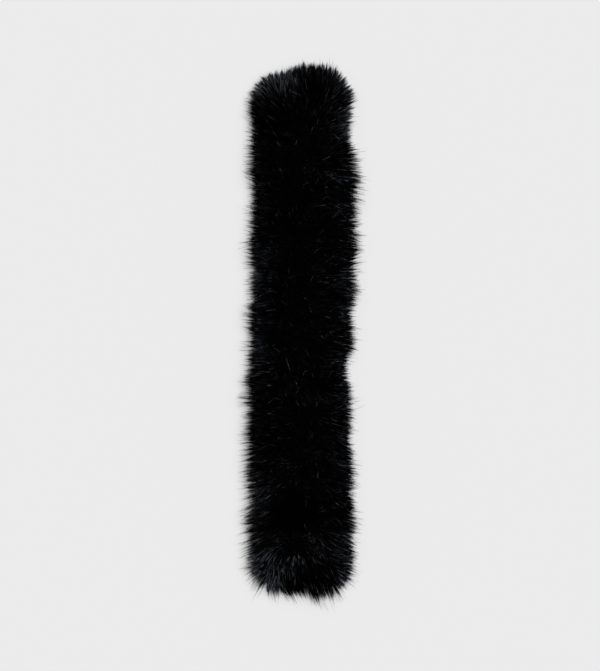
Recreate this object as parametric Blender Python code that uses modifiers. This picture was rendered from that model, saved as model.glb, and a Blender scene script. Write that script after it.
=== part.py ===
"""Long-pile fur scarf, laid flat.

Two panels of fur cloth, each a knitted ground with its pile, are sewn together all round with their
seam allowances turned in. The grounds are thin walls that lie on each other. Each pile is the plain
solid of its reach: deep on top, pressed flat underneath, and splayed round the seam.
+Y runs along the scarf, +Z is up, and z = 0 is the surface that it lies on.
"""

from collections import namedtuple
from math import cos, pi, sin

import bmesh
import bpy
from mathutils import Vector

MM = 0.001

# The knitted ground, sewn and turned
GROUND_WIDTH = 136 * MM
GROUND_LENGTH = 936 * MM
GROUND_CORNER = 22 * MM
GROUND_WALL = 1.2 * MM
SEAM_ALLOWANCE = 9 * MM
SEAM_SLOPE = 10 * MM  # from the inner edge of the allowance to where the two grounds lie on each other
CLEARANCE = 0.3 * MM  # between two pieces, and between a ground and its own turned allowance

# The pile
BACK_PILE_DEPTH = 9 * MM  # pressed flat under the scarf's weight
FOOT_INSET = 0.45  # share of the reach by which the resting face stays inside the rim
PILE_CROWN = 3.5 * MM  # how much deeper the front pile stands along the middle
CORNER_THINNING = 0.16  # share by which the hair's fanning at a corner shortens its reach
TIP_REACH = 9 * MM  # how far the separate tips stand past the dense pile

# The dense pile's reach beyond the ground's long edges and depth over the front ground, in mm.
# "along" is the place on the length, from the near end at minus to the far end at plus.
SideRow = namedtuple("SideRow", "along left right depth")
SIDE_ROWS = [
    SideRow(-468, 33, 24, 25),
    SideRow(-440, 30, 31, 27),
    SideRow(-401, 31, 25, 28),
    SideRow(-360, 36, 36, 29),
    SideRow(-327, 34, 31, 28),
    SideRow(-302, 38, 28, 27),
    SideRow(-268, 35, 31, 27),
    SideRow(-228, 33, 24, 28),
    SideRow(-192, 33, 19, 29),
    SideRow(-154, 32, 25, 28),
    SideRow(-110, 36, 21, 27),
    SideRow(-80, 33, 9, 26),
    SideRow(-55, 30, 12, 26),
    SideRow(-28, 26, 30, 27),
    SideRow(0, 27, 28, 28),
    SideRow(32, 29, 22, 28),
    SideRow(64, 20, 35, 27),
    SideRow(93, 24, 38, 28),
    SideRow(118, 20, 32, 29),
    SideRow(142, 26, 35, 29),
    SideRow(172, 29, 40, 28),
    SideRow(195, 23, 40, 28),
    SideRow(230, 22, 35, 27),
    SideRow(262, 20, 39, 27),
    SideRow(291, 24, 47, 28),
    SideRow(315, 25, 39, 29),
    SideRow(340, 27, 32, 29),
    SideRow(365, 24, 19, 28),
    SideRow(392, 21, 19, 27),
    SideRow(416, 29, 24, 28),
    SideRow(441, 25, 27, 27),
    SideRow(468, 23, 30, 25),
]

# The dense pile's reach beyond the ground's two short edges, in mm. "across" is minus on the left.
EndRow = namedtuple("EndRow", "across near far")
END_ROWS = [
    EndRow(-68, 27, 23),
    EndRow(-40, 23, 16),
    EndRow(-16, 24, 29),
    EndRow(6, 22, 39),
    EndRow(22, 27, 35),
    EndRow(38, 32, 39),
    EndRow(52, 31, 35),
    EndRow(68, 32, 24),
]

# How many steps the outline takes along each edge and round each corner
SIDE_STEPS = 60
END_STEPS = 6
CORNER_STEPS = 4

FUR_COLOUR = (0.004, 0.004, 0.005, 1)
GROUND_COLOUR = (0.008, 0.008, 0.009, 1)

# One station on the ground's edge: its place, the way out of the cloth, the point of the middle line that
# it looks at, the pile's reach beyond the edge, and the pile's depth at the middle and at the edge
Station = namedtuple("Station", "edge out middle reach middle_depth edge_depth")
# One line of a section, from the middle of the scarf outwards. inner is 0 on the middle line and 1 on
# the ground's edge, out is a distance beyond the edge, share is a share of the reach beyond the edge.
Line = namedtuple("Line", "inner out share height deepen", defaults=(1, 0, 0, 0, 0))

# Mid-wall heights of a ground from the plane between the two panels, and its outer face's
ALLOWANCE_MID = CLEARANCE / 2 + GROUND_WALL / 2
PANEL_MID = ALLOWANCE_MID + GROUND_WALL + CLEARANCE
PANEL_TOP = PANEL_MID + GROUND_WALL / 2
SEAM_HEIGHT = BACK_PILE_DEPTH + CLEARANCE + PANEL_TOP  # that plane above the resting face
MIDDLE_REACH = (GROUND_LENGTH - GROUND_WIDTH) / 2  # half the middle line, on which the sections close


def eased(rows, at, column):
    """The column's value, in metres, at a place between two rows, with no corner at either row."""
    first = rows[0]._fields[0]
    place = max(getattr(rows[0], first), min(getattr(rows[-1], first), at / MM))
    for low, high in zip(rows, rows[1:]):
        if place <= getattr(high, first):
            break
    t = (place - getattr(low, first)) / (getattr(high, first) - getattr(low, first))
    t = t * t * (3 - 2 * t)
    return ((1 - t) * getattr(low, column) + t * getattr(high, column)) * MM


def heading(quarters):
    """The level direction at a number of quarter turns from +X."""
    return Vector((cos(quarters * pi / 2), sin(quarters * pi / 2)))


def edge_places():
    """Places on the ground's edge with their outward directions: right edge, far, left, near."""
    x, y = GROUND_WIDTH / 2 - GROUND_CORNER, GROUND_LENGTH / 2 - GROUND_CORNER
    centres = [Vector(corner) for corner in ((x, -y), (x, y), (-x, y), (-x, -y))]
    places = []
    for quarter in range(4):
        start, end = centres[quarter], centres[(quarter + 1) % 4]
        way = heading(quarter)
        steps = END_STEPS if quarter % 2 else SIDE_STEPS
        for i in range(1, steps):
            places.append((start.lerp(end, i / steps) + GROUND_CORNER * way, way))
        for i in range(CORNER_STEPS + 1):
            way = heading(quarter + i / CORNER_STEPS)
            places.append((end + GROUND_CORNER * way, way))
    return places


def stations():
    """The ground's edge with the pile's reach and depth at each place."""
    found = []
    for edge, out in edge_places():
        side = eased(SIDE_ROWS, edge.y, "right" if edge.x > 0 else "left")
        end = eased(END_ROWS, edge.x, "far" if edge.y > 0 else "near")
        thinning = 1 - CORNER_THINNING * (2 * out.x * out.y) ** 2
        reach = (side * out.x**2 + end * out.y**2) * thinning + TIP_REACH
        middle = Vector((0, max(-MIDDLE_REACH, min(MIDDLE_REACH, edge.y))))
        depths = [eased(SIDE_ROWS, place.y, "depth") for place in (middle, edge)]
        found.append(Station(edge, out, middle, reach, *depths))
    return found


def ring(around, line):
    """One closed ring round the scarf, following a line of the section at every station."""
    points = []
    for s in around:
        flat = s.middle.lerp(s.edge, line.inner) + s.out * (line.out + line.share * s.reach)
        depth = s.middle_depth + (s.edge_depth - s.middle_depth) * line.inner
        points.append(Vector((*flat, line.height + line.deepen * depth)))
    return points


def close_skin(sheet):
    """Joins points that meet on the middle line, and turns the faces outwards."""
    bmesh.ops.remove_doubles(sheet, verts=sheet.verts, dist=0.01 * MM)
    bmesh.ops.dissolve_degenerate(sheet, edges=sheet.edges, dist=0.01 * MM)
    bmesh.ops.recalc_face_normals(sheet, faces=sheet.faces)


def loft(name, rings, material, holder):
    """An object whose skin runs from ring to ring. It closes where a ring falls on the middle line."""
    sheet = bmesh.new()
    rows = [[sheet.verts.new(point) for point in points] for points in rings]
    for low, high in zip(rows, rows[1:]):
        for i in range(len(low)):
            j = (i + 1) % len(low)
            sheet.faces.new((low[i], low[j], high[j], high[i]))
    close_skin(sheet)
    mesh = bpy.data.meshes.new(name)
    sheet.to_mesh(mesh)
    sheet.free()
    mesh.materials.append(material)
    mesh.shade_smooth()
    made = bpy.data.objects.new(name, mesh)
    holder.users_collection[0].objects.link(made)
    made.parent = holder
    return made


def ground_section(side):
    """Mid-wall lines of one ground, from the middle to the turned allowance. side is 1 in front, -1 behind."""
    fold = (PANEL_MID - ALLOWANCE_MID) / 2
    turned = SEAM_HEIGHT + side * ALLOWANCE_MID
    panel = SEAM_HEIGHT + side * PANEL_MID
    wall = GROUND_WALL / 2
    return [
        Line(inner=0, height=turned),
        Line(out=-SEAM_ALLOWANCE - SEAM_SLOPE, height=turned),
        Line(out=-SEAM_ALLOWANCE, height=panel),
        Line(out=-fold - wall, height=panel),
        Line(out=-wall, height=(panel + turned) / 2),
        Line(out=-fold - wall, height=turned),
        Line(out=-SEAM_ALLOWANCE + CLEARANCE, height=turned),
    ]


def ground(name, side, around, material, holder):
    """One panel's knitted ground: a wall whose edge is turned in by the seam allowance."""
    made = loft(name, [ring(around, line) for line in ground_section(side)], material, holder)
    wall = made.modifiers.new("Wall", "SOLIDIFY")
    wall.thickness = GROUND_WALL
    wall.offset = 0
    wall.use_even_offset = True
    return made


def pile_floor(side):
    """The lines where the pile is rooted: out to the rim along the seam, then up and over the ground."""
    seam = SEAM_HEIGHT + side * CLEARANCE / 2
    over_edge = SEAM_HEIGHT + side * (PANEL_TOP + CLEARANCE)
    over_middle = SEAM_HEIGHT + side * (CLEARANCE * 1.5 + GROUND_WALL)
    return [
        Line(out=CLEARANCE, height=seam),
        Line(out=CLEARANCE, height=over_edge),
        Line(out=-SEAM_ALLOWANCE, height=over_edge),
        Line(out=-SEAM_ALLOWANCE - SEAM_SLOPE, height=over_middle),
        Line(inner=0, height=over_middle),
    ]


def front_pile(around, material, holder):
    """The standing pile: level over the ground, and rounded over its edge down to the seam."""
    base = SEAM_HEIGHT + CLEARANCE / 2
    lines = [
        Line(inner=0, height=base + PILE_CROWN, deepen=1),
        Line(inner=0.55, height=base + PILE_CROWN * 0.7, deepen=1),
        Line(inner=0.92, height=base, deepen=1),
    ]
    for step in (4, 3, 2, 1, 0):
        angle = step / 5 * pi / 2
        lines.append(Line(share=cos(angle), height=base, deepen=sin(angle) ** 0.9))
    lines += pile_floor(1)
    return loft("front_pile", [ring(around, line) for line in lines], material, holder)


def back_pile(around, material, holder):
    """The pile underneath, pressed to a flat resting face with a rounded edge."""
    rim = SEAM_HEIGHT - CLEARANCE / 2
    lines = [Line(inner=0), Line(share=1 - FOOT_INSET)]
    for step in (1, 2, 3):
        angle = step / 3 * pi / 2
        lines.append(Line(share=1 - FOOT_INSET + FOOT_INSET * sin(angle), height=rim * (1 - cos(angle))))
    lines += pile_floor(-1)
    return loft("back_pile", [ring(around, line) for line in lines], material, holder)


def cloth_material(name, colour, roughness):
    material = bpy.data.materials.new(name)
    material.use_nodes = True
    material.diffuse_color = colour
    shader = material.node_tree.nodes["Principled BSDF"]
    shader.inputs["Base Color"].default_value = colour
    shader.inputs["Roughness"].default_value = roughness
    shader.inputs["Metallic"].default_value = 0
    return material


def scarf_holder(around):
    """An empty that sets the middle of the pile's outline on the origin, with the scarf's collection."""
    rim = ring(around, Line(share=1))
    centre = [(min(p[i] for p in rim) + max(p[i] for p in rim)) / 2 for i in (0, 1)]
    collection = bpy.data.collections.new("fur_scarf")
    bpy.context.scene.collection.children.link(collection)
    holder = bpy.data.objects.new("scarf", None)
    holder.location = (-centre[0], -centre[1], 0)
    collection.objects.link(holder)
    return holder


def main():
    for leftover in list(bpy.data.objects):
        bpy.data.objects.remove(leftover)
    fur = cloth_material("fur_pile", FUR_COLOUR, 0.6)
    knit = cloth_material("knitted_ground", GROUND_COLOUR, 0.9)
    around = stations()
    holder = scarf_holder(around)
    ground("front_ground", 1, around, knit, holder)
    ground("back_ground", -1, around, knit, holder)
    front_pile(around, fur, holder)
    back_pile(around, fur, holder)


main()
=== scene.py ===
"""Long-pile fur scarf, laid flat.

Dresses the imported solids: two knitted grounds, the dense underfur round them, and the layers of
long hair that Geometry Nodes grow from the cloth, front and back. +Y runs along the scarf and +Z is
up.
"""

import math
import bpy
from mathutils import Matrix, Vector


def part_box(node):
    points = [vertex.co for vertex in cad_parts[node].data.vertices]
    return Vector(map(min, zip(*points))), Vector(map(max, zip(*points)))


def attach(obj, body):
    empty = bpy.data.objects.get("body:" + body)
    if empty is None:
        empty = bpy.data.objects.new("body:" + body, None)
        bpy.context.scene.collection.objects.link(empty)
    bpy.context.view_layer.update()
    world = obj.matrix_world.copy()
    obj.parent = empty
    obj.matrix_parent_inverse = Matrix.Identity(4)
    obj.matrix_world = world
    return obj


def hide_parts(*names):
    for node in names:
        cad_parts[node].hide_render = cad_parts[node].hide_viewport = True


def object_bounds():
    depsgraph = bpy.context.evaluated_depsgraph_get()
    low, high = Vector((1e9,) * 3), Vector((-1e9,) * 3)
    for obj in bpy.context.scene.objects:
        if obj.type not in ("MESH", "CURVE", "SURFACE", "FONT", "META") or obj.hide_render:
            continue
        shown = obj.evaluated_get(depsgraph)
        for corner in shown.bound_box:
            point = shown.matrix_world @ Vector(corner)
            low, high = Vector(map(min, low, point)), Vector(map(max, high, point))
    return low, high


bl_info = {
    "name": "Long-pile fur scarf",
    "version": (1, 0, 0),
    "blender": (4, 5, 0),
    "location": "3D View > Sidebar > Scarf",
    "description": "Grows the pile of a fur scarf round its packed solids",
    "category": "Add Mesh",
}

from collections import namedtuple
from functools import partial

import bmesh
import bpy
from bpy.props import FloatProperty, FloatVectorProperty, IntProperty, PointerProperty
from mathutils import Vector, noise
from mathutils.bvhtree import BVHTree

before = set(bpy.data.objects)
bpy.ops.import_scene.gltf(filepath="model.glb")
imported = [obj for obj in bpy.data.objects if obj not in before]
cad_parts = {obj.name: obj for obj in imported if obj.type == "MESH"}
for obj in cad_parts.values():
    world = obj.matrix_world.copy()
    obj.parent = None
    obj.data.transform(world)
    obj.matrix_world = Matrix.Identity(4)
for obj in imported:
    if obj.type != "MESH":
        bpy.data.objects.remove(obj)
CAD_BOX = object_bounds()

MM = 0.001
BODY = "root"

# The sewn ground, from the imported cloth. Its corner radius and the cut are the pattern's own.
GROUND_LOW, GROUND_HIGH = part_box("front_ground")
BACK_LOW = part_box("back_ground")[0]
GROUND_MIDDLE = (GROUND_LOW + GROUND_HIGH) / 2
HALF_WIDTH = (GROUND_HIGH.x - GROUND_LOW.x) / 2
HALF_LENGTH = (GROUND_HIGH.y - GROUND_LOW.y) / 2
MIDDLE_REACH = HALF_LENGTH - HALF_WIDTH  # half the middle line, on which the lines of roots close
FOLD = (GROUND_HIGH.z - BACK_LOW.z) / 2  # how far the sewn edge bulges, as a half round
CORNER = 22 * MM

# Where the roots stand and how the hair leaves them
ROOT_SPACING = 5 * MM  # between two roots' places round the ground's edge
SWIRL_SIZE = 40 * MM  # how broad the swirls of the pile are
SWIRL = 1.6  # how strong they are on the middle line
SWIRL_HELD = 1.2  # how much weaker at the ground's edge
NAP_HELD = 0.7  # share of the lean along the scarf that the long edges hold back
BEND_AT = 0.5  # share of a hair's reach at which it bends
BEND_OUT = 0.7  # how much of the way straight out from the cloth its bend takes on
LOWEST_HAIR = 0.9 * MM  # above the surface that the scarf lies on
WISPS = Vector((9, 22, 8)) * MM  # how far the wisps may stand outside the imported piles
RAY_START = 0.3  # a place outside the pile from any root, in metres

# The pile underneath is pressed outwards from the middle: how strongly its hair swirls, and how far
# it leans towards +X and towards the nearer end
PRESSED_SWIRL = 0.4
PRESSED_ASIDE = 0.4
PRESSED_ALONG = 1.2

# What makes the pile uneven. Each pair is how broad the unevenness is, and how strong.
CLUMPS = ((9 * MM, 0.10), (21 * MM, 0.10))  # in the pile's reach
# MOTTLES vary the painted sheen at random from place to place
MOTTLES = ((12 * MM, 0.20), (40 * MM, 0.06))  # in how well it catches the light
UNDERFUR_LUMPS = (14 * MM, 0.08)  # in the underfur's share of the reach
UNDERFUR_SPACING = 7 * MM  # between two of its places round the ground's edge
UNDERFUR_LOWEST = 1.2 * MM

RAGGED_LEFT = 0.12  # how much more ragged the pile is on the left than on the whole
EVEN = 0.92  # share of the pile's reach that every hair has where the pile isn't ragged
STRAY_LOW, STRAY_HIGH = (-1, -1, -0.3), (1, 1, 0.4)  # box that a tip's stray is drawn from
WILDEST = 2.2  # how many times further the wildest hair strays
WILD_FEW = 9.0  # the higher, the fewer such hairs
BEND_STRAY = 0.35  # share of its tip's stray that a hair's bend has
BEND_HOLD = 0.3  # share of its tip's hold on the tuft that a hair's bend has
TUFT_STRAY = 4.5 * MM
TUFT_LENGTHS = (0.91, 1.09)
TUFT_TONE = 0.25  # share of a hair's tone that its tuft decides
THICKNESSES = (0.6, 1.25)  # shares of the layer's width
NEAR_TIP = 0.85  # where the second of two runs starts
FACET_TONE = 0.004  # how much the tone changes round a hair
# Painted light towards the tips: the higher, the nearer to its tip a hair's colour turns from black
# to its tone
PAINTED_TIP_LIGHT = 2.2  # the higher, the nearer to its tip a hair shows its tone
SEED_STEP = 10  # between one layer's seed and the next's
HOLD_SEED, LENGTH_SEED, THICKNESS_SEED = 31, 32, 43
ASKEW = (0.31, 0.27, 0.91)  # a way that hardly any hair takes, to measure its sides from

# What Geometry Nodes know about every root, tuft and hair, as named attributes
MID = "mid"  # the hair's bend: from the root at first, and then its place
TIP = "tip"  # the hair's tip, in the same way
ROOT = "root"  # the root's place
CROWD = "crowd"  # share of the full number of hairs
TUFTS = "tufts"  # share of the full number of tufts
# Painted sheen: lightens the hairs' colour where they catch the light, and darkens it where they
# stand in shade
PAINTED_SHEEN = "sheen"  # how well the hairs catch the light there
RAGGED = "ragged"  # how unequal the hairs' lengths are there
TONE = "tone"  # how light the hair is
THICK = "thick"  # the hair's radius at its root
PLACES = (MID, TIP, ROOT)
AMOUNTS = (CROWD, TUFTS, PAINTED_SHEEN, RAGGED, TONE, THICK)
HAIR_MAP = "OFBake"  # u is the hair's tone, v runs from root to tip

PILE_INPUTS = (
    ("Roots", "Geometry"),
    ("Hairs per m2", "Float"),
    ("Tufts per m2", "Float"),
    ("Width", "Float"),
    ("Sections", "Int"),
    ("Shortest", "Float"),
    ("Longest", "Float"),
    ("Few long", "Float"),
    ("Least hold", "Float"),
    ("Most hold", "Float"),
    ("Stray", "Float"),
    ("Shine", "Float"),
    ("From", "Float"),
    ("To", "Float"),
    ("Low corner", "Vector"),
    ("High corner", "Vector"),
    ("Seed", "Int"),
    ("Tuft seed", "Int"),
    ("Material", "Material"),
)

# One line of roots round the scarf. inner is 0 on the middle line and 1 on the ground's edge, turn
# is the way the cloth faces there in degrees above level, upright and lean share out the hair's
# direction between up and outwards, crowd is how closely the hairs stand, tufts how closely their
# tufts stand, and sheen the painted sheen: how much the hairs' colour is lightened where they lie
# flat near the edge and catch the light, or darkened where they stand up in shade.
RootLine = namedtuple("RootLine", "inner turn upright lean crowd tufts sheen")
ROOT_LINES = [
    RootLine(0.00, 90, 1.10, 0.65, 0.75, 1.00, 0.93),
    RootLine(0.25, 90, 1.10, 0.65, 0.75, 1.00, 0.94),
    RootLine(0.50, 90, 1.00, 0.75, 0.80, 1.00, 0.95),
    RootLine(0.70, 90, 0.85, 0.90, 0.95, 0.90, 1.00),
    RootLine(0.85, 90, 0.62, 1.00, 1.25, 0.65, 1.05),
    RootLine(0.95, 90, 0.42, 1.00, 1.60, 0.45, 1.08),
    RootLine(1.00, 55, 0.26, 1.00, 2.40, 0.35, 1.08),
    RootLine(1.00, 20, 0.12, 1.00, 3.00, 0.35, 1.05),
    RootLine(1.00, 0, 0.04, 1.00, 3.00, 0.35, 1.00),
    RootLine(1.00, -20, -0.02, 1.00, 3.00, 0.35, 0.95),
    RootLine(1.00, -55, -0.08, 1.00, 2.00, 0.45, 0.95),
    RootLine(0.95, -90, -0.12, 1.00, 1.30, 0.65, 0.95),
    RootLine(0.80, -90, -0.12, 1.00, 0.90, 1.00, 0.95),
    RootLine(0.50, -90, -0.12, 0.90, 0.70, 1.00, 0.95),
    RootLine(0.25, -90, -0.12, 0.80, 0.65, 1.00, 0.95),
    RootLine(0.00, -90, -0.12, 0.70, 0.60, 1.00, 0.95),
]

# One layer of hairs. share is its share of the locks asked for, and width its share of the lock
# width. lengths are the shortest and longest as shares of the pile's reach, and few_long makes the
# longest rarer. hold is how far a hair follows its tuft, at least and at most, and stray how far
# its tip strays. sections is how many straight runs a hair is bent from, gather is how many tuft
# spacings apart its tufts stand, shine the least painted sheen its hairs get, shown along the whole
# hair as a painted glint, and until the share of the scarf's length, from the near end, that the
# layer grows on.
Layer = namedtuple(
    "Layer",
    "name share width lengths few_long hold stray sections gather shine until",
    defaults=(2, 1.0, 0.0, 1.0),
)
LAYERS = [
    Layer("locks", 1.0, 0.9, (0.57, 0.89), 0.7, (0.50, 0.95), 3 * MM),
    Layer("guard_hairs", 2.8, 0.68, (0.83, 1.03), 0.8, (0.75, 0.99), 3 * MM, sections=1),
    Layer("whiskers", 0.19, 0.68, (0.90, 1.33), 1.7, (0.28, 0.93), 4 * MM, gather=1.4),
    Layer("stray_hairs", 0.011, 0.6, (0.80, 0.98), 1.0, (0.00, 0.10), 22 * MM, shine=0.93),
    Layer("end_wisps", 0.035, 0.36, (1.08, 1.6), 1.1, (0.10, 0.70), 7 * MM, gather=1.4, until=0.07),
]

# How the pile lies along the scarf. along is a share of the half length from the middle, minus
# towards the near end, stand is how upright the hair stands, nap is how far it leans towards +Y and
# slant towards +X, sheen is the painted sheen: how much the hairs' colour is lightened where they
# lie flat at the ends and catch the light, or darkened where they stand up in shade, and ragged is
# how unequal its lengths are.
LayRow = namedtuple("LayRow", "along stand nap slant sheen ragged")
LAY_ROWS = [
    LayRow(-1.00, 0.50, -0.90, 0.80, 1.07, 1.25),
    LayRow(-0.86, 0.80, -0.75, 0.25, 1.05, 1.00),
    LayRow(-0.70, 1.50, -0.55, 0.00, 0.87, 1.00),
    LayRow(-0.45, 1.05, -0.30, 0.00, 0.93, 1.00),
    LayRow(-0.15, 0.95, -0.10, 0.00, 0.96, 1.10),
    LayRow(0.20, 1.00, 0.00, 0.00, 0.95, 1.10),
    LayRow(0.55, 1.20, 0.10, 0.00, 0.90, 1.10),
    LayRow(0.80, 1.00, 0.45, 0.00, 0.92, 1.00),
    LayRow(1.00, 0.50, 0.90, 0.10, 1.11, 0.45),
]

# Painted light and shade on the pile: places on the cloth where the hairs' colour is made lighter,
# as painted sheen, or darker, as painted shade, than its lie alone gives, with across and along as
# shares of its half sizes, how wide the place is, and what it does to the painted sheen
PaintedLightPatch = namedtuple("PaintedLightPatch", "across along radius gain")
PAINTED_LIGHT_PATCHES = [
    PaintedLightPatch(-0.65, 0.95, 55 * MM, 0.20),
    PaintedLightPatch(0.20, 0.95, 60 * MM, -0.16),
    PaintedLightPatch(-0.75, 0.86, 45 * MM, -0.18),
    PaintedLightPatch(0.90, 0.82, 45 * MM, 0.20),
    PaintedLightPatch(0.35, 0.60, 45 * MM, 0.14),
    PaintedLightPatch(1.00, 0.35, 60 * MM, -0.10),
    PaintedLightPatch(-0.95, 0.24, 60 * MM, 0.10),
    PaintedLightPatch(-0.90, -0.05, 45 * MM, 0.05),
    PaintedLightPatch(-1.00, -0.38, 50 * MM, -0.12),
    PaintedLightPatch(0.00, -0.54, 45 * MM, 0.14),
    PaintedLightPatch(-0.10, -0.72, 55 * MM, -0.40),
    PaintedLightPatch(-1.00, -0.66, 65 * MM, 0.26),
    PaintedLightPatch(0.30, -0.81, 30 * MM, 0.18),
    PaintedLightPatch(0.90, -0.86, 35 * MM, -0.08),
    PaintedLightPatch(-0.90, -0.90, 50 * MM, 0.22),
    PaintedLightPatch(-0.25, -0.90, 22 * MM, 0.24),
    PaintedLightPatch(0.40, -0.95, 45 * MM, -0.14),
    PaintedLightPatch(-0.92, -1.00, 38 * MM, 0.26),
    PaintedLightPatch(-0.22, -1.02, 60 * MM, -0.44),
]

# The cloth and the wool
MERGE = 0.01 * MM  # points of the pile's skins that are closer than this are one
MERGE_CLOTH = 0.001 * MM
WALE, COURSE = 1.2 * MM, 0.9 * MM  # from one column or row of knitted loops to the next
WAVE_STEP = math.pi / 10  # from one band of a Wave Texture to the next at a scale of 1
STRAND = 3 * MM  # how broad the lumps of matted wool are

# The stage
CAMERA_ASIDE = Vector((-2.7, -6.4, 0)) * MM  # where the camera is, from over the ground's middle
SENSOR_HEIGHT = 24  # in millimetres, as Blender measures sensors and lenses
FLOOR_HALF = 6  # half the floor's side, in metres
FLOOR_DROP = 0.2 * MM  # below the scarf, so that the two don't flicker
SUN_SPREAD = 52  # degrees that the softbox fills of the sky
SUN_TILT = (-6, 10)  # degrees that it is turned about X and about Y from straight overhead


def linear(hex_colour):
    """An sRGB hex colour as linear red, green, blue and alpha."""
    channels = [int(hex_colour[i : i + 2], 16) / 255 for i in (1, 3, 5)]
    return [c / 12.92 if c <= 0.04045 else ((c + 0.055) / 1.055) ** 2.4 for c in channels] + [1.0]


def colour_property(name, description, hex_colour):
    return FloatVectorProperty(
        name=name,
        description=description,
        default=linear(hex_colour),
        size=4,
        min=0.0,
        max=1.0,
        subtype="COLOR",
    )


class PileSettings(bpy.types.PropertyGroup):
    hair_length: FloatProperty(
        name="Hair length",
        description="Longest hair of the pile, from its root to its tip",
        default=56 * MM,
        unit="LENGTH",
    )
    lock_width: FloatProperty(
        name="Lock width",
        description="Radius of one lock of hairs at its root",
        default=0.4 * MM,
        unit="LENGTH",
    )
    tuft_spacing: FloatProperty(
        name="Tuft spacing",
        description="Distance between the tufts that the locks gather into",
        default=2.4 * MM,
        unit="LENGTH",
    )
    front_locks: IntProperty(
        name="Front locks",
        description="Locks of hair for each square metre of the front ground",
        default=240000,
    )
    back_locks: IntProperty(
        name="Back locks",
        description="Locks of hair for each square metre of the back ground",
        default=60000,
    )
    front_lengths: IntProperty(
        name="Front pieces",
        description="How many pieces the front pile is divided into along the scarf",
        default=2,
        min=1,
    )
    underfur_share: FloatProperty(
        name="Underfur depth",
        description="Share of the pile's reach that the dense underfur fills",
        default=0.42,
        subtype="FACTOR",
    )
    seed: IntProperty(name="Seed", description="Which scatter of hairs is grown", default=7)
    swirl_seed: IntProperty(
        name="Swirl seed", description="Which swirls the pile is brushed into", default=8, min=1
    )


class FinishSettings(bpy.types.PropertyGroup):
    root_colour: colour_property("Root colour", "Hair at its root", "#010101")
    tip_colour: colour_property("Tip colour", "Hair at its tip", "#0b0c0f")
    # The sheen and glint colours are painted light: lighter hair colour for hairs that catch the
    # light
    painted_sheen_colour: colour_property("Sheen colour", "Hairs that return the light", "#474a51")
    painted_glint_colour: colour_property("Glint colour", "The few hairs that catch the light", "#8d9099")
    underfur_colour: colour_property("Underfur colour", "Dense short wool", "#010101")
    knit_colour: colour_property("Knit colour", "Knitted ground cloth", "#0b0b0d")


class StageSettings(bpy.types.PropertyGroup):
    camera_height: FloatProperty(
        name="Camera height", description="Camera above the floor", default=3.0, unit="LENGTH"
    )
    view_height: FloatProperty(
        name="View height",
        description="Length of floor that the picture's height takes in",
        default=1.275,
        unit="LENGTH",
    )
    floor_colour: colour_property("Floor colour", "Matt pale paper", "#e6e6e6")
    sun_strength: FloatProperty(name="Sun strength", description="Overhead softbox", default=3.0)
    sky_strength: FloatProperty(
        name="Sky strength", description="Light from the room", default=0.12
    )


def add_node(tree, kind, inputs=None, **settings):
    """A node with its settings. inputs gives each socket a value, or the output that feeds it."""
    made = tree.nodes.new(kind)
    for name, value in settings.items():
        setattr(made, name, value)
    for key, value in (inputs or {}).items():
        if isinstance(value, bpy.types.NodeSocket):
            tree.links.new(value, made.inputs[key])
        else:
            made.inputs[key].default_value = value
    return made


def principled(name):
    """A new material, its node tree and its shader."""
    material = bpy.data.materials.new(name)
    material.use_nodes = True
    tree = material.node_tree
    return material, tree, tree.nodes["Principled BSDF"]


def hair_material(finish):
    """Dyed modacrylic or fox guard hair: jet black, its base colour painted with a cool grey sheen
    towards the tips and a few glints.
    """
    material, tree, shader = principled("dyed_guard_hair")
    place = add_node(tree, "ShaderNodeUVMap", uv_map=HAIR_MAP)
    parts = add_node(tree, "ShaderNodeSeparateXYZ", {0: place.outputs[0]})
    tone, rise = parts.outputs[0], parts.outputs[1]
    # By its tone, which is random and carries the painted sheen, most hairs stay black up to their
    # tips, some get a painted grey sheen there, and few a painted glint
    ramp = add_node(tree, "ShaderNodeValToRGB", {0: tone})
    stops = ramp.color_ramp.elements
    stops[0].position, stops[0].color = 0.35, finish.root_colour
    stops[1].position, stops[1].color = 0.98, finish.painted_glint_colour
    stops.new(0.70).color = finish.tip_colour
    stops.new(0.90).color = finish.painted_sheen_colour
    # Painted light: the colour runs from the root colour to the tone's colour only near the tip,
    # where the hair catches the light
    rise = add_node(tree, "ShaderNodeMath", {0: rise, 1: PAINTED_TIP_LIGHT}, operation="POWER").outputs[0]
    colour = add_node(
        tree,
        "ShaderNodeMix",
        {"Factor": rise, 6: finish.root_colour, 7: ramp.outputs[0]},
        data_type="RGBA",
    ).outputs[2]
    tree.links.new(colour, shader.inputs["Base Color"])
    shader.inputs["Roughness"].default_value = 0.42
    shader.inputs["Specular IOR Level"].default_value = 0.008
    shader.inputs["IOR"].default_value = 1.55
    return material


def underfur_material(finish):
    """Short dense wool between the guard hairs: it returns almost no light."""
    material, tree, shader = principled("matted_underfur")
    place = add_node(tree, "ShaderNodeTexCoord").outputs["Object"]
    strands = add_node(
        tree, "ShaderNodeTexNoise", {"Vector": place, "Scale": 1 / STRAND, "Detail": 4.0}
    ).outputs["Fac"]
    bump = add_node(
        tree, "ShaderNodeBump", {"Height": strands, "Strength": 0.8, "Distance": 1.5 * MM}
    ).outputs[0]
    tree.links.new(bump, shader.inputs["Normal"])
    shader.inputs["Base Color"].default_value = finish.underfur_colour
    shader.inputs["Roughness"].default_value = 0.9
    shader.inputs["Specular IOR Level"].default_value = 0.01
    return material


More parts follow.
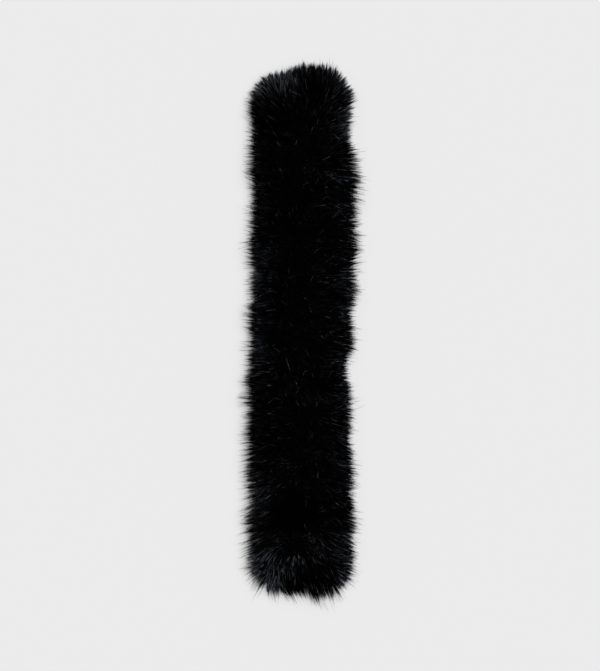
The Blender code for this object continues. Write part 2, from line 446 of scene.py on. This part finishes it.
def knit_material(finish):
    """Warp-knitted polyester ground: fine wales along the scarf, crossed by finer courses, matt."""
    material, tree, shader = principled("knitted_polyester_ground")
    place = add_node(tree, "ShaderNodeTexCoord").outputs["Object"]
    wales, courses = (
        add_node(
            tree,
            "ShaderNodeTexWave",
            {"Vector": place, "Scale": WAVE_STEP / step, "Distortion": 1.0, "Detail": 1.0},
            bands_direction=across,
        ).outputs["Fac"]
        for step, across in ((WALE, "X"), (COURSE, "Y"))
    )
    loops = add_node(
        tree, "ShaderNodeMath", {0: wales, 1: courses}, operation="MULTIPLY"
    ).outputs[0]
    bump = add_node(
        tree, "ShaderNodeBump", {"Height": loops, "Strength": 0.7, "Distance": 0.3 * MM}
    ).outputs[0]
    tree.links.new(bump, shader.inputs["Normal"])
    shader.inputs["Base Color"].default_value = finish.knit_colour
    shader.inputs["Roughness"].default_value = 0.92
    return material


def eased(rows, at, column):
    """The column's value at a place between two rows, with no corner at either row."""
    first = rows[0]._fields[0]
    place = max(getattr(rows[0], first), min(getattr(rows[-1], first), at))
    for low, high in zip(rows, rows[1:]):
        if place <= getattr(high, first):
            break
    t = (place - getattr(low, first)) / (getattr(high, first) - getattr(low, first))
    t = t * t * (3 - 2 * t)
    return (1 - t) * getattr(low, column) + t * getattr(high, column)


def edge_places(spacing):
    """Places on the ground's edge with their outward directions: right edge, far, left, near."""
    x, y = HALF_WIDTH - CORNER, HALF_LENGTH - CORNER
    centres = [Vector(corner) for corner in ((x, -y), (x, y), (-x, y), (-x, -y))]
    places = []
    for quarter in range(4):
        start, end = centres[quarter], centres[(quarter + 1) % 4]
        angle = quarter * math.pi / 2
        way = Vector((round(math.cos(angle)), round(math.sin(angle))))
        steps = round((end - start).length / spacing)
        for i in range(1, steps):
            places.append((start.lerp(end, i / steps) + CORNER * way, way))
        steps = round(CORNER * math.pi / 2 / spacing) + 2
        for i in range(steps + 1):
            angle = (quarter + i / steps) * math.pi / 2
            way = Vector((math.cos(angle), math.sin(angle)))
            places.append((end + CORNER * way, way))
    return places


def root_point(edge, way, line):
    """Where a line of roots meets the cloth, at one place on the edge."""
    middle = Vector((0, max(-MIDDLE_REACH, min(MIDDLE_REACH, edge.y))))
    turn = math.radians(line.turn)
    flat = middle.lerp(edge - way * FOLD, line.inner) + way * (FOLD * math.cos(turn) * line.inner)
    level = BACK_LOW.z + FOLD + FOLD * math.sin(turn)
    return Vector((flat.x + GROUND_MIDDLE.x, flat.y + GROUND_MIDDLE.y, level))


def along(point):
    """A point's place along the scarf, from -1 at the ground's near end to 1 at its far end."""
    return (point.y - GROUND_MIDDLE.y) / HALF_LENGTH


def unevenness(point, kinds):
    """What the pile's unevenness of these kinds adds at one place."""
    return sum(strength * noise.noise((point - GROUND_MIDDLE) / size) for size, strength in kinds)


def painted_sheen_at(line, point):
    """The painted sheen of a line of roots at one place: how much the hairs' colour is lightened
    where they catch the light, or darkened where they stand in shade.
    """
    gain = 1 + unevenness(point, MOTTLES)
    for patch in PAINTED_LIGHT_PATCHES:
        place = GROUND_MIDDLE + Vector((patch.across * HALF_WIDTH, patch.along * HALF_LENGTH, 0))
        gone = min(1.0, (point - place).to_2d().length / patch.radius)
        gain += patch.gain * (1 - gone**2) ** 2
    return line.sheen * eased(LAY_ROWS, along(point), "sheen") * gain


def hair_way(way, line, point):
    """The unit direction in which the hair lies at a root."""
    station = along(point)
    stand = line.upright * (eased(LAY_ROWS, station, "stand") if line.turn > 0 else 1)
    nap = Vector([eased(LAY_ROWS, station, column) for column in ("slant", "nap")])
    nap *= 1 - NAP_HELD * line.inner * abs(way.x)
    swirl = SWIRL - SWIRL_HELD * line.inner
    if line.turn < 0:
        swirl = PRESSED_SWIRL
        nap += Vector((PRESSED_ASIDE, PRESSED_ALONG * station)) * (1 - line.inner)
    swirl *= noise.noise_vector((point - GROUND_MIDDLE) / SWIRL_SIZE).to_2d()
    flat = way * line.inner + nap + swirl
    return Vector((*(flat.normalized() * line.lean), stand)).normalized()


def envelope():
    """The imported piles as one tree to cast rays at."""
    shape = bmesh.new()
    for node in ("front_pile", "back_pile"):
        shape.from_mesh(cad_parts[node].data)
    tree = BVHTree.FromBMesh(shape)
    shape.free()
    return tree


def pile_reach(piles, point, way, longest):
    """How far the pile reaches from a root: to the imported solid's outer face, at most a hair."""
    hit = piles.ray_cast(point + way * RAY_START, -way, RAY_START)
    return longest if hit[3] is None else min(longest, RAY_START - hit[3])


def skin_mesh(name, shape, rows):
    """A shape's rows of points round the scarf, joined into one skin whose faces point outwards."""
    for upper, lower in zip(rows, rows[1:]):
        for i in range(len(upper)):
            j = (i + 1) % len(upper)
            shape.faces.new((upper[j], upper[i], lower[i], lower[j]))
    bmesh.ops.remove_doubles(shape, verts=shape.verts, dist=MERGE)
    bmesh.ops.recalc_face_normals(shape, faces=shape.faces)
    mesh = bpy.data.meshes.new(name)
    shape.to_mesh(mesh)
    shape.free()
    return mesh


def roots_mesh(name, lines, longest):
    """The cloth's outer surface along these lines, with what each root hands to its hairs."""
    piles = envelope()
    places = edge_places(ROOT_SPACING)
    sheet = bmesh.new()
    layers = {attribute: sheet.verts.layers.float_vector.new(attribute) for attribute in (MID, TIP)}
    for attribute in (CROWD, TUFTS, PAINTED_SHEEN, RAGGED):
        layers[attribute] = sheet.verts.layers.float.new(attribute)
    rows = []
    for line in lines:
        row = []
        turn = math.radians(line.turn)
        for edge, way in places:
            point = root_point(edge, way, line)
            lie = hair_way(way, line, point)
            clumped = 1 + unevenness(point + lie * longest, CLUMPS)
            reach = pile_reach(piles, point, lie, longest) * clumped
            face = Vector((*(way * math.cos(turn)), math.sin(turn)))
            handed = {
                MID: (lie + face * BEND_OUT).normalized() * reach * BEND_AT,
                TIP: lie * reach,
                CROWD: line.crowd,
                TUFTS: line.tufts,
                PAINTED_SHEEN: painted_sheen_at(line, point),
                RAGGED: eased(LAY_ROWS, along(point), "ragged") * (1 - RAGGED_LEFT * way.x),
            }
            vert = sheet.verts.new(point)
            for attribute, value in handed.items():
                vert[layers[attribute]] = value
            row.append(vert)
        rows.append(row)
    return skin_mesh(name, sheet, rows)


def underfur_mesh(name, share, longest):
    """The shell that the underfur fills: every root line, moved out by its share of the reach."""
    piles = envelope()
    places = edge_places(UNDERFUR_SPACING)
    shell = bmesh.new()
    rows = []
    for line in ROOT_LINES:
        row = []
        for edge, way in places:
            point = root_point(edge, way, line)
            out = Vector((*(way * line.lean * line.inner), line.upright)).normalized()
            lumpy = share + unevenness(point, (UNDERFUR_LUMPS,))
            point += out * pile_reach(piles, point, out, longest) * lumpy
            point.z = max(point.z, UNDERFUR_LOWEST)
            row.append(shell.verts.new(point))
        rows.append(row)
    return skin_mesh(name, shell, rows)


def scatter(add, given, stored, density, seed, stray, lengths):
    """Points on the roots. Each has its own bend, tip and tone, astray from the lie of the pile."""
    place = add("GeometryNodeInputPosition").outputs[0]
    points = add(
        "GeometryNodeDistributePointsOnFaces",
        {"Mesh": given["Roots"], "Density": density, "Seed": seed},
    ).outputs[0]
    stretch = add(
        "FunctionNodeRandomValue",
        {2: lengths[0] - 1, 3: lengths[1] - 1, "Seed": seed},
        data_type="FLOAT",
    ).outputs[1]
    stretch = add(
        "ShaderNodeMath", {0: stretch, 1: stored[RAGGED], 2: 1.0}, operation="MULTIPLY_ADD"
    ).outputs[0]
    aside = add(
        "FunctionNodeRandomValue",
        {0: STRAY_LOW, 1: STRAY_HIGH, "Seed": seed},
        data_type="FLOAT_VECTOR",
    ).outputs[0]
    wild = add(
        "FunctionNodeRandomValue", {2: 0.0, 3: 1.0, "Seed": given["Seed"]}, data_type="FLOAT"
    ).outputs[1]
    wild = add("ShaderNodeMath", {0: wild, 1: WILD_FEW}, operation="POWER").outputs[0]
    wild = add("ShaderNodeMapRange", {0: wild, 1: 0.0, 2: 1.0, 3: 1.0, 4: WILDEST}).outputs[0]
    wild = add("ShaderNodeMath", {0: wild, 1: stray}, operation="MULTIPLY").outputs[0]
    for name, share in ((MID, BEND_STRAY), (TIP, 1.0)):
        way = add(
            "ShaderNodeVectorMath", {0: stored[name], "Scale": stretch}, operation="SCALE"
        ).outputs[0]
        drift = add("ShaderNodeMath", {0: wild, 1: share}, operation="MULTIPLY").outputs[0]
        drift = add(
            "ShaderNodeVectorMath", {0: aside, "Scale": drift}, operation="SCALE"
        ).outputs[0]
        way = add("ShaderNodeVectorMath", {0: way, 1: drift}, operation="ADD").outputs[0]
        end = add("ShaderNodeVectorMath", {0: place, 1: way}, operation="ADD").outputs[0]
        points = add(
            "GeometryNodeStoreNamedAttribute",
            {"Geometry": points, "Name": name, "Value": end},
            data_type="FLOAT_VECTOR",
            domain="POINT",
        ).outputs[0]
    tone = add(
        "FunctionNodeRandomValue", {2: 0.0, 3: 1.0, "Seed": seed}, data_type="FLOAT"
    ).outputs[1]
    return add(
        "GeometryNodeStoreNamedAttribute",
        {"Geometry": points, "Name": TONE, "Value": tone},
        data_type="FLOAT",
        domain="POINT",
    ).outputs[0]


def gather(add, given, stored, hairs, tufts):
    """Turns each hair towards its nearest tuft, a little at the bend and mostly at the tip.

    Then ends it at its own length, so that a tuft has a ragged brush of tips.
    """
    place = add("GeometryNodeInputPosition").outputs[0]
    nearest = add(
        "GeometryNodeSampleNearest", {"Geometry": tufts, "Sample Position": place}, domain="POINT"
    ).outputs[0]
    hold = add(
        "FunctionNodeRandomValue",
        {2: given["Least hold"], 3: given["Most hold"], "Seed": HOLD_SEED},
        data_type="FLOAT",
    ).outputs[1]
    luck = add(
        "FunctionNodeRandomValue", {2: 0.0, 3: 1.0, "Seed": LENGTH_SEED}, data_type="FLOAT"
    ).outputs[1]
    luck = add("ShaderNodeMath", {0: luck, 1: given["Few long"]}, operation="POWER").outputs[0]
    length = add(
        "ShaderNodeMapRange",
        {0: luck, 1: 0.0, 2: 1.0, 3: given["Shortest"], 4: given["Longest"]},
    ).outputs[0]
    length = add("ShaderNodeMath", {0: length, 1: EVEN}, operation="SUBTRACT").outputs[0]
    length = add(
        "ShaderNodeMath", {0: length, 1: stored[RAGGED], 2: EVEN}, operation="MULTIPLY_ADD"
    ).outputs[0]
    for name, share in ((MID, BEND_HOLD), (TIP, 1.0)):
        lead = add(
            "GeometryNodeSampleIndex",
            {"Geometry": tufts, "Value": stored[name], "Index": nearest},
            data_type="FLOAT_VECTOR",
            domain="POINT",
        ).outputs[0]
        pull = add("ShaderNodeMath", {0: hold, 1: share}, operation="MULTIPLY").outputs[0]
        end = add(
            "ShaderNodeMix", {"Factor": pull, 4: stored[name], 5: lead}, data_type="VECTOR"
        ).outputs[1]
        way = add("ShaderNodeVectorMath", {0: end, 1: place}, operation="SUBTRACT").outputs[0]
        way = add("ShaderNodeVectorMath", {0: way, "Scale": length}, operation="SCALE").outputs[0]
        end = add("ShaderNodeVectorMath", {0: place, 1: way}, operation="ADD").outputs[0]
        for corner, limit in (("Low corner", "MAXIMUM"), ("High corner", "MINIMUM")):
            end = add(
                "ShaderNodeVectorMath", {0: end, 1: given[corner]}, operation=limit
            ).outputs[0]
        hairs = add(
            "GeometryNodeStoreNamedAttribute",
            {"Geometry": hairs, "Name": name, "Value": end},
            data_type="FLOAT_VECTOR",
            domain="POINT",
        ).outputs[0]
    favour = add(
        "GeometryNodeSampleIndex",
        {"Geometry": tufts, "Value": stored[TONE], "Index": nearest},
        data_type="FLOAT",
        domain="POINT",
    ).outputs[0]
    favour = add(
        "ShaderNodeMapRange", {0: favour, 1: 0.0, 2: 1.0, 3: 1 - TUFT_TONE, 4: 1.0}
    ).outputs[0]
    # The random tone takes on the painted sheen of its root's place, and at least the layer's painted
    # shine
    tone = stored[TONE]
    for other, kind in (
        (favour, "MULTIPLY"),
        (stored[PAINTED_SHEEN], "MULTIPLY"),
        (given["Shine"], "MAXIMUM"),
    ):
        tone = add("ShaderNodeMath", {0: tone, 1: other}, operation=kind).outputs[0]
    thick = add(
        "FunctionNodeRandomValue",
        {2: THICKNESSES[0], 3: THICKNESSES[1], "Seed": THICKNESS_SEED},
        data_type="FLOAT",
    ).outputs[1]
    thick = add("ShaderNodeMath", {0: thick, 1: given["Width"]}, operation="MULTIPLY").outputs[0]
    for name, value, kind in (
        (ROOT, place, "FLOAT_VECTOR"),
        (TONE, tone, "FLOAT"),
        (THICK, thick, "FLOAT"),
    ):
        hairs = add(
            "GeometryNodeStoreNamedAttribute",
            {"Geometry": hairs, "Name": name, "Value": value},
            data_type=kind,
            domain="POINT",
        ).outputs[0]
    return hairs


def spikes(add, given, stored, hairs):
    """A closed three-sided spike along +Z for each hair, a metre long until it is bent.

    Gives as well where a point of it is: across the spike, and from 0 at its root to 1 at its tip.
    """
    place = add("GeometryNodeInputPosition").outputs[0]
    spike = add(
        "GeometryNodeMeshCone",
        {
            "Vertices": 3,
            "Side Segments": given["Sections"],
            "Fill Segments": 1,
            "Radius Top": 0.0,
            "Radius Bottom": 1.0,
            "Depth": 1.0,
        },
        fill_type="NGON",
    ).outputs["Mesh"]
    station = add("ShaderNodeSeparateXYZ", {0: place}).outputs["Y"]
    after, before = (
        add("FunctionNodeCompare", {0: station, 1: given[limit]}, operation=test).outputs[0]
        for limit, test in (("From", "GREATER_EQUAL"), ("To", "LESS_THAN"))
    )
    here = add("FunctionNodeBooleanMath", {0: after, 1: before}, operation="AND").outputs[0]
    pile = add(
        "GeometryNodeInstanceOnPoints", {"Points": hairs, "Selection": here, "Instance": spike}
    ).outputs[0]
    pile = add("GeometryNodeRealizeInstances", {"Geometry": pile}).outputs[0]
    local = add(
        "ShaderNodeVectorMath", {0: place, 1: stored[ROOT]}, operation="SUBTRACT"
    ).outputs[0]
    across = add("ShaderNodeSeparateXYZ", {0: local}).outputs
    # The ring of points halfway up goes to where the second run starts
    rise = add(
        "ShaderNodeMath",
        {0: across["Z"], 1: math.log(NEAR_TIP) / math.log(0.5)},
        operation="POWER",
    ).outputs[0]
    return pile, across, rise


def mapped(add, given, stored, pile, across, rise):
    """Puts each hair's tone and the place along it on its map, before the spikes are bent."""
    skew = add(
        "ShaderNodeMath", {0: across["Y"], 1: 0.5, 2: across["X"]}, operation="MULTIPLY_ADD"
    ).outputs[0]
    tone = add(
        "ShaderNodeMath", {0: skew, 1: FACET_TONE, 2: stored[TONE]}, operation="MULTIPLY_ADD"
    ).outputs[0]
    # Hairs of a layer with shine show their tone, a painted glint, along their whole length
    lit = add("ShaderNodeMath", {0: rise, 1: given["Shine"]}, operation="MAXIMUM").outputs[0]
    hair_map = add("ShaderNodeCombineXYZ", {"X": tone, "Y": lit}).outputs[0]
    return add(
        "GeometryNodeStoreNamedAttribute",
        {"Geometry": pile, "Name": HAIR_MAP, "Value": hair_map},
        data_type="FLOAT2",
        domain="CORNER",
    ).outputs[0]


def bent(add, stored, pile, across, rise):
    """Bends each spike from its root round its bend to its tip, and makes it as thick as its hair."""
    first, second = (
        add(
            "ShaderNodeMix", {"Factor": rise, 4: stored[start], 5: stored[end]}, data_type="VECTOR"
        ).outputs[1]
        for start, end in ((ROOT, MID), (MID, TIP))
    )
    centre = add(
        "ShaderNodeMix", {"Factor": rise, 4: first, 5: second}, data_type="VECTOR"
    ).outputs[1]
    heading = add("ShaderNodeVectorMath", {0: second, 1: first}, operation="SUBTRACT").outputs[0]
    heading = add("ShaderNodeVectorMath", {0: heading}, operation="NORMALIZE").outputs[0]
    right = add(
        "ShaderNodeVectorMath", {0: heading, 1: ASKEW}, operation="CROSS_PRODUCT"
    ).outputs[0]
    right = add("ShaderNodeVectorMath", {0: right}, operation="NORMALIZE").outputs[0]
    up = add("ShaderNodeVectorMath", {0: heading, 1: right}, operation="CROSS_PRODUCT").outputs[0]
    right, up = (
        add("ShaderNodeVectorMath", {0: side, "Scale": across[axis]}, operation="SCALE").outputs[0]
        for side, axis in ((right, "X"), (up, "Y"))
    )
    out = add("ShaderNodeVectorMath", {0: right, 1: up}, operation="ADD").outputs[0]
    # The cone is half as wide at its ring, so nearly twice the thickness there keeps the hair full
    full = add("ShaderNodeMath", {0: rise, 1: 1.0}, operation="ADD").outputs[0]
    full = add("ShaderNodeMath", {0: full, 1: stored[THICK]}, operation="MULTIPLY").outputs[0]
    out = add("ShaderNodeVectorMath", {0: out, "Scale": full}, operation="SCALE").outputs[0]
    skin = add("ShaderNodeVectorMath", {0: centre, 1: out}, operation="ADD").outputs[0]
    return add("GeometryNodeSetPosition", {"Geometry": pile, "Position": skin}).outputs[0]


def pile_tree():
    """The tree that grows one layer of hairs on a mesh of roots."""
    tree = bpy.data.node_groups.new("pile", "GeometryNodeTree")
    for label, kind in PILE_INPUTS:
        tree.interface.new_socket(label, in_out="INPUT", socket_type=f"NodeSocket{kind}")
    tree.interface.new_socket("Pile", in_out="OUTPUT", socket_type="NodeSocketGeometry")
    add = partial(add_node, tree)
    given = add("NodeGroupInput").outputs
    stored = {
        name: add("GeometryNodeInputNamedAttribute", {"Name": name}, data_type=kind).outputs[0]
        for names, kind in ((PLACES, "FLOAT_VECTOR"), (AMOUNTS, "FLOAT"))
        for name in names
    }
    points = []
    for number, crowd, seed, stray, lengths in (
        ("Hairs per m2", CROWD, given["Seed"], given["Stray"], (1.0, 1.0)),
        ("Tufts per m2", TUFTS, given["Tuft seed"], TUFT_STRAY, TUFT_LENGTHS),
    ):
        density = add(
            "ShaderNodeMath", {0: given[number], 1: stored[crowd]}, operation="MULTIPLY"
        ).outputs[0]
        points.append(scatter(add, given, stored, density, seed, stray, lengths))
    hairs = gather(add, given, stored, *points)
    pile, across, rise = spikes(add, given, stored, hairs)
    pile = mapped(add, given, stored, pile, across, rise)
    pile = bent(add, stored, pile, across, rise)
    pile = add("GeometryNodeSetShadeSmooth", {"Geometry": pile}).outputs[0]
    pile = add(
        "GeometryNodeSetMaterial", {"Geometry": pile, "Material": given["Material"]}
    ).outputs[0]
    add("NodeGroupOutput", {"Pile": pile})
    return tree


def layer_values(layer, settings):
    """What the tree is told about one layer of hairs."""
    return {
        "Sections": layer.sections,
        "Width": settings.lock_width * layer.width,
        "Shortest": layer.lengths[0],
        "Longest": layer.lengths[1],
        "Few long": layer.few_long,
        "Tufts per m2": 1 / (settings.tuft_spacing * layer.gather) ** 2,
        "Least hold": layer.hold[0],
        "Most hold": layer.hold[1],
        "Stray": layer.stray,
        "Shine": layer.shine,
    }


def link(name, data):
    made = bpy.data.objects.new(name, data)
    bpy.context.scene.collection.objects.link(made)
    return made


def grown(name, roots, tree, values):
    """A plain mesh object of the hairs that the tree grows on the roots."""
    grower = link(name + "_roots", roots)
    modifier = grower.modifiers.new("Pile", "NODES")
    modifier.node_group = tree
    for item in tree.interface.items_tree:
        if item.name in values:
            modifier[item.identifier] = values[item.name]
    ready = grower.evaluated_get(bpy.context.evaluated_depsgraph_get())
    mesh = bpy.data.meshes.new_from_object(ready)
    bpy.data.objects.remove(grower)
    for spent in PLACES + AMOUNTS:
        if spent in mesh.attributes:
            mesh.attributes.remove(mesh.attributes[spent])
    if not mesh.polygons:
        raise RuntimeError(f"{name} grew no hair")
    return link(name, mesh)


class SCARF_OT_ground_cloth(bpy.types.Operator):
    """Make the two knitted grounds that the pile is rooted in"""

    bl_idname = "scarf.ground_cloth"
    bl_label = "Ground cloth"

    def execute(self, context):
        material = knit_material(context.scene.scarf_finish)
        for side in ("front", "back"):
            node = f"{side}_ground"
            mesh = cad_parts[node].data.copy()
            shape = bmesh.new()
            shape.from_mesh(mesh)
            bmesh.ops.remove_doubles(shape, verts=shape.verts, dist=MERGE_CLOTH)
            shape.to_mesh(mesh)
            shape.free()
            mesh.materials.clear()
            mesh.materials.append(material)
            cloth = link(f"{side}_cloth", mesh)
            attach(cloth, BODY)
            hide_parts(node)
        return {"FINISHED"}


class SCARF_OT_underfur(bpy.types.Operator):
    """Fill the pile's lower part with one closed shell of dense underfur"""

    bl_idname = "scarf.underfur"
    bl_label = "Underfur"

    def execute(self, context):
        settings = context.scene.scarf_pile
        mesh = underfur_mesh("underfur", settings.underfur_share, settings.hair_length)
        mesh.shade_smooth()
        mesh.materials.append(underfur_material(context.scene.scarf_finish))
        underfur = link("underfur", mesh)
        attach(underfur, BODY)
        return {"FINISHED"}


class SCARF_OT_pile(bpy.types.Operator):
    """Grow the long hair of the front and back piles"""

    bl_idname = "scarf.pile"
    bl_label = "Pile"

    def execute(self, context):
        settings = context.scene.scarf_pile
        tree = pile_tree()
        low, high = CAD_BOX[0][1], CAD_BOX[1][1]
        common = {
            "Low corner": (*(CAD_BOX[0] - WISPS).to_2d(), LOWEST_HAIR),
            "High corner": tuple(CAD_BOX[1] + WISPS),
            "Tuft seed": settings.seed,
            "Material": hair_material(context.scene.scarf_finish),
        }
        noise.seed_set(settings.swirl_seed)  # or the swirls start from the clock
        seam = next(i for i, line in enumerate(ROOT_LINES) if line.turn == 0)
        front = roots_mesh("front_roots", ROOT_LINES[: seam + 1], settings.hair_length)
        back = roots_mesh("back_roots", ROOT_LINES[seam:], settings.hair_length)
        sides = (
            ("front", front, settings.front_locks, settings.front_lengths),
            ("back", back, settings.back_locks, 1),
        )
        furs = {"front": [], "back": []}
        for number, layer in enumerate(LAYERS, start=1):
            values = common | layer_values(layer, settings)
            values["Seed"] = settings.seed + SEED_STEP * number
            for side, roots, locks, count in sides:
                values["Hairs per m2"] = locks * layer.share
                count = 1 if layer.until < 1 else count
                ends = [low + (high - low) * layer.until * i / count for i in range(count + 1)]
                for i in range(count):
                    values["From"], values["To"] = ends[i], ends[i + 1]
                    fur = grown(f"{side}_{layer.name}_{i + 1}", roots.copy(), tree, values)
                    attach(fur, BODY)
                    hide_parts(f"{side}_pile")
                    furs[side].append(fur)
        return {"FINISHED"}


class SCARF_OT_stage(bpy.types.Operator):
    """Set the pale floor, the overhead light and the camera that looks straight down"""

    bl_idname = "scarf.stage"
    bl_label = "Stage"

    def execute(self, context):
        stage = context.scene.scarf_stage
        paper, _, shader = principled("matt_pale_paper")
        shader.inputs["Base Color"].default_value = stage.floor_colour
        shader.inputs["Roughness"].default_value = 1.0
        shader.inputs["Specular IOR Level"].default_value = 0.0
        sheet = bmesh.new()
        bmesh.ops.create_grid(sheet, x_segments=1, y_segments=1, size=FLOOR_HALF)
        mesh = bpy.data.meshes.new("floor")
        sheet.to_mesh(mesh)
        sheet.free()
        mesh.materials.append(paper)
        floor = link("floor", mesh)
        floor.location.z = -FLOOR_DROP

        sky = bpy.data.worlds.new("sky")
        sky.use_nodes = True
        background = sky.node_tree.nodes["Background"]
        background.inputs["Color"].default_value = linear("#ffffff")
        background.inputs["Strength"].default_value = stage.sky_strength
        context.scene.world = sky
        lamp = bpy.data.lights.new("softbox", "SUN")
        lamp.energy = stage.sun_strength
        lamp.angle = math.radians(SUN_SPREAD)
        sun = link("softbox", lamp)
        sun.rotation_euler = (math.radians(SUN_TILT[0]), math.radians(SUN_TILT[1]), 0)

        lens = bpy.data.cameras.new("camera")
        lens.sensor_fit = "VERTICAL"
        lens.sensor_height = SENSOR_HEIGHT
        lens.lens = lens.sensor_height * stage.camera_height / stage.view_height
        camera = link("camera", lens)
        camera.location = (*(GROUND_MIDDLE + CAMERA_ASIDE).to_2d(), stage.camera_height)
        context.scene.camera = camera
        context.scene.view_settings.view_transform = "Standard"
        return {"FINISHED"}


class SCARF_PT_parts(bpy.types.Panel):
    """Shows the scarf's settings and the buttons that build it"""

    bl_idname = "SCARF_PT_parts"
    bl_label = "Fur scarf"
    bl_space_type = "VIEW_3D"
    bl_region_type = "UI"
    bl_category = "Scarf"

    def draw(self, context):
        scene = context.scene
        for settings in (scene.scarf_pile, scene.scarf_finish, scene.scarf_stage):
            box = self.layout.box()
            for name in settings.__annotations__:
                box.prop(settings, name)
        for operator in OPERATORS:
            self.layout.operator(operator.bl_idname)


OPERATORS = (SCARF_OT_ground_cloth, SCARF_OT_underfur, SCARF_OT_pile, SCARF_OT_stage)
CLASSES = (PileSettings, FinishSettings, StageSettings, *OPERATORS, SCARF_PT_parts)


def register():
    for cls in CLASSES:
        bpy.utils.register_class(cls)
    bpy.types.Scene.scarf_pile = PointerProperty(type=PileSettings)
    bpy.types.Scene.scarf_finish = PointerProperty(type=FinishSettings)
    bpy.types.Scene.scarf_stage = PointerProperty(type=StageSettings)


def unregister():
    del bpy.types.Scene.scarf_stage
    del bpy.types.Scene.scarf_finish
    del bpy.types.Scene.scarf_pile
    for cls in reversed(CLASSES):
        bpy.utils.unregister_class(cls)


def main():
    register()
    bpy.ops.scarf.ground_cloth()
    bpy.ops.scarf.underfur()
    bpy.ops.scarf.pile()
    bpy.ops.scarf.stage()


if __name__ == "__main__":
    main()
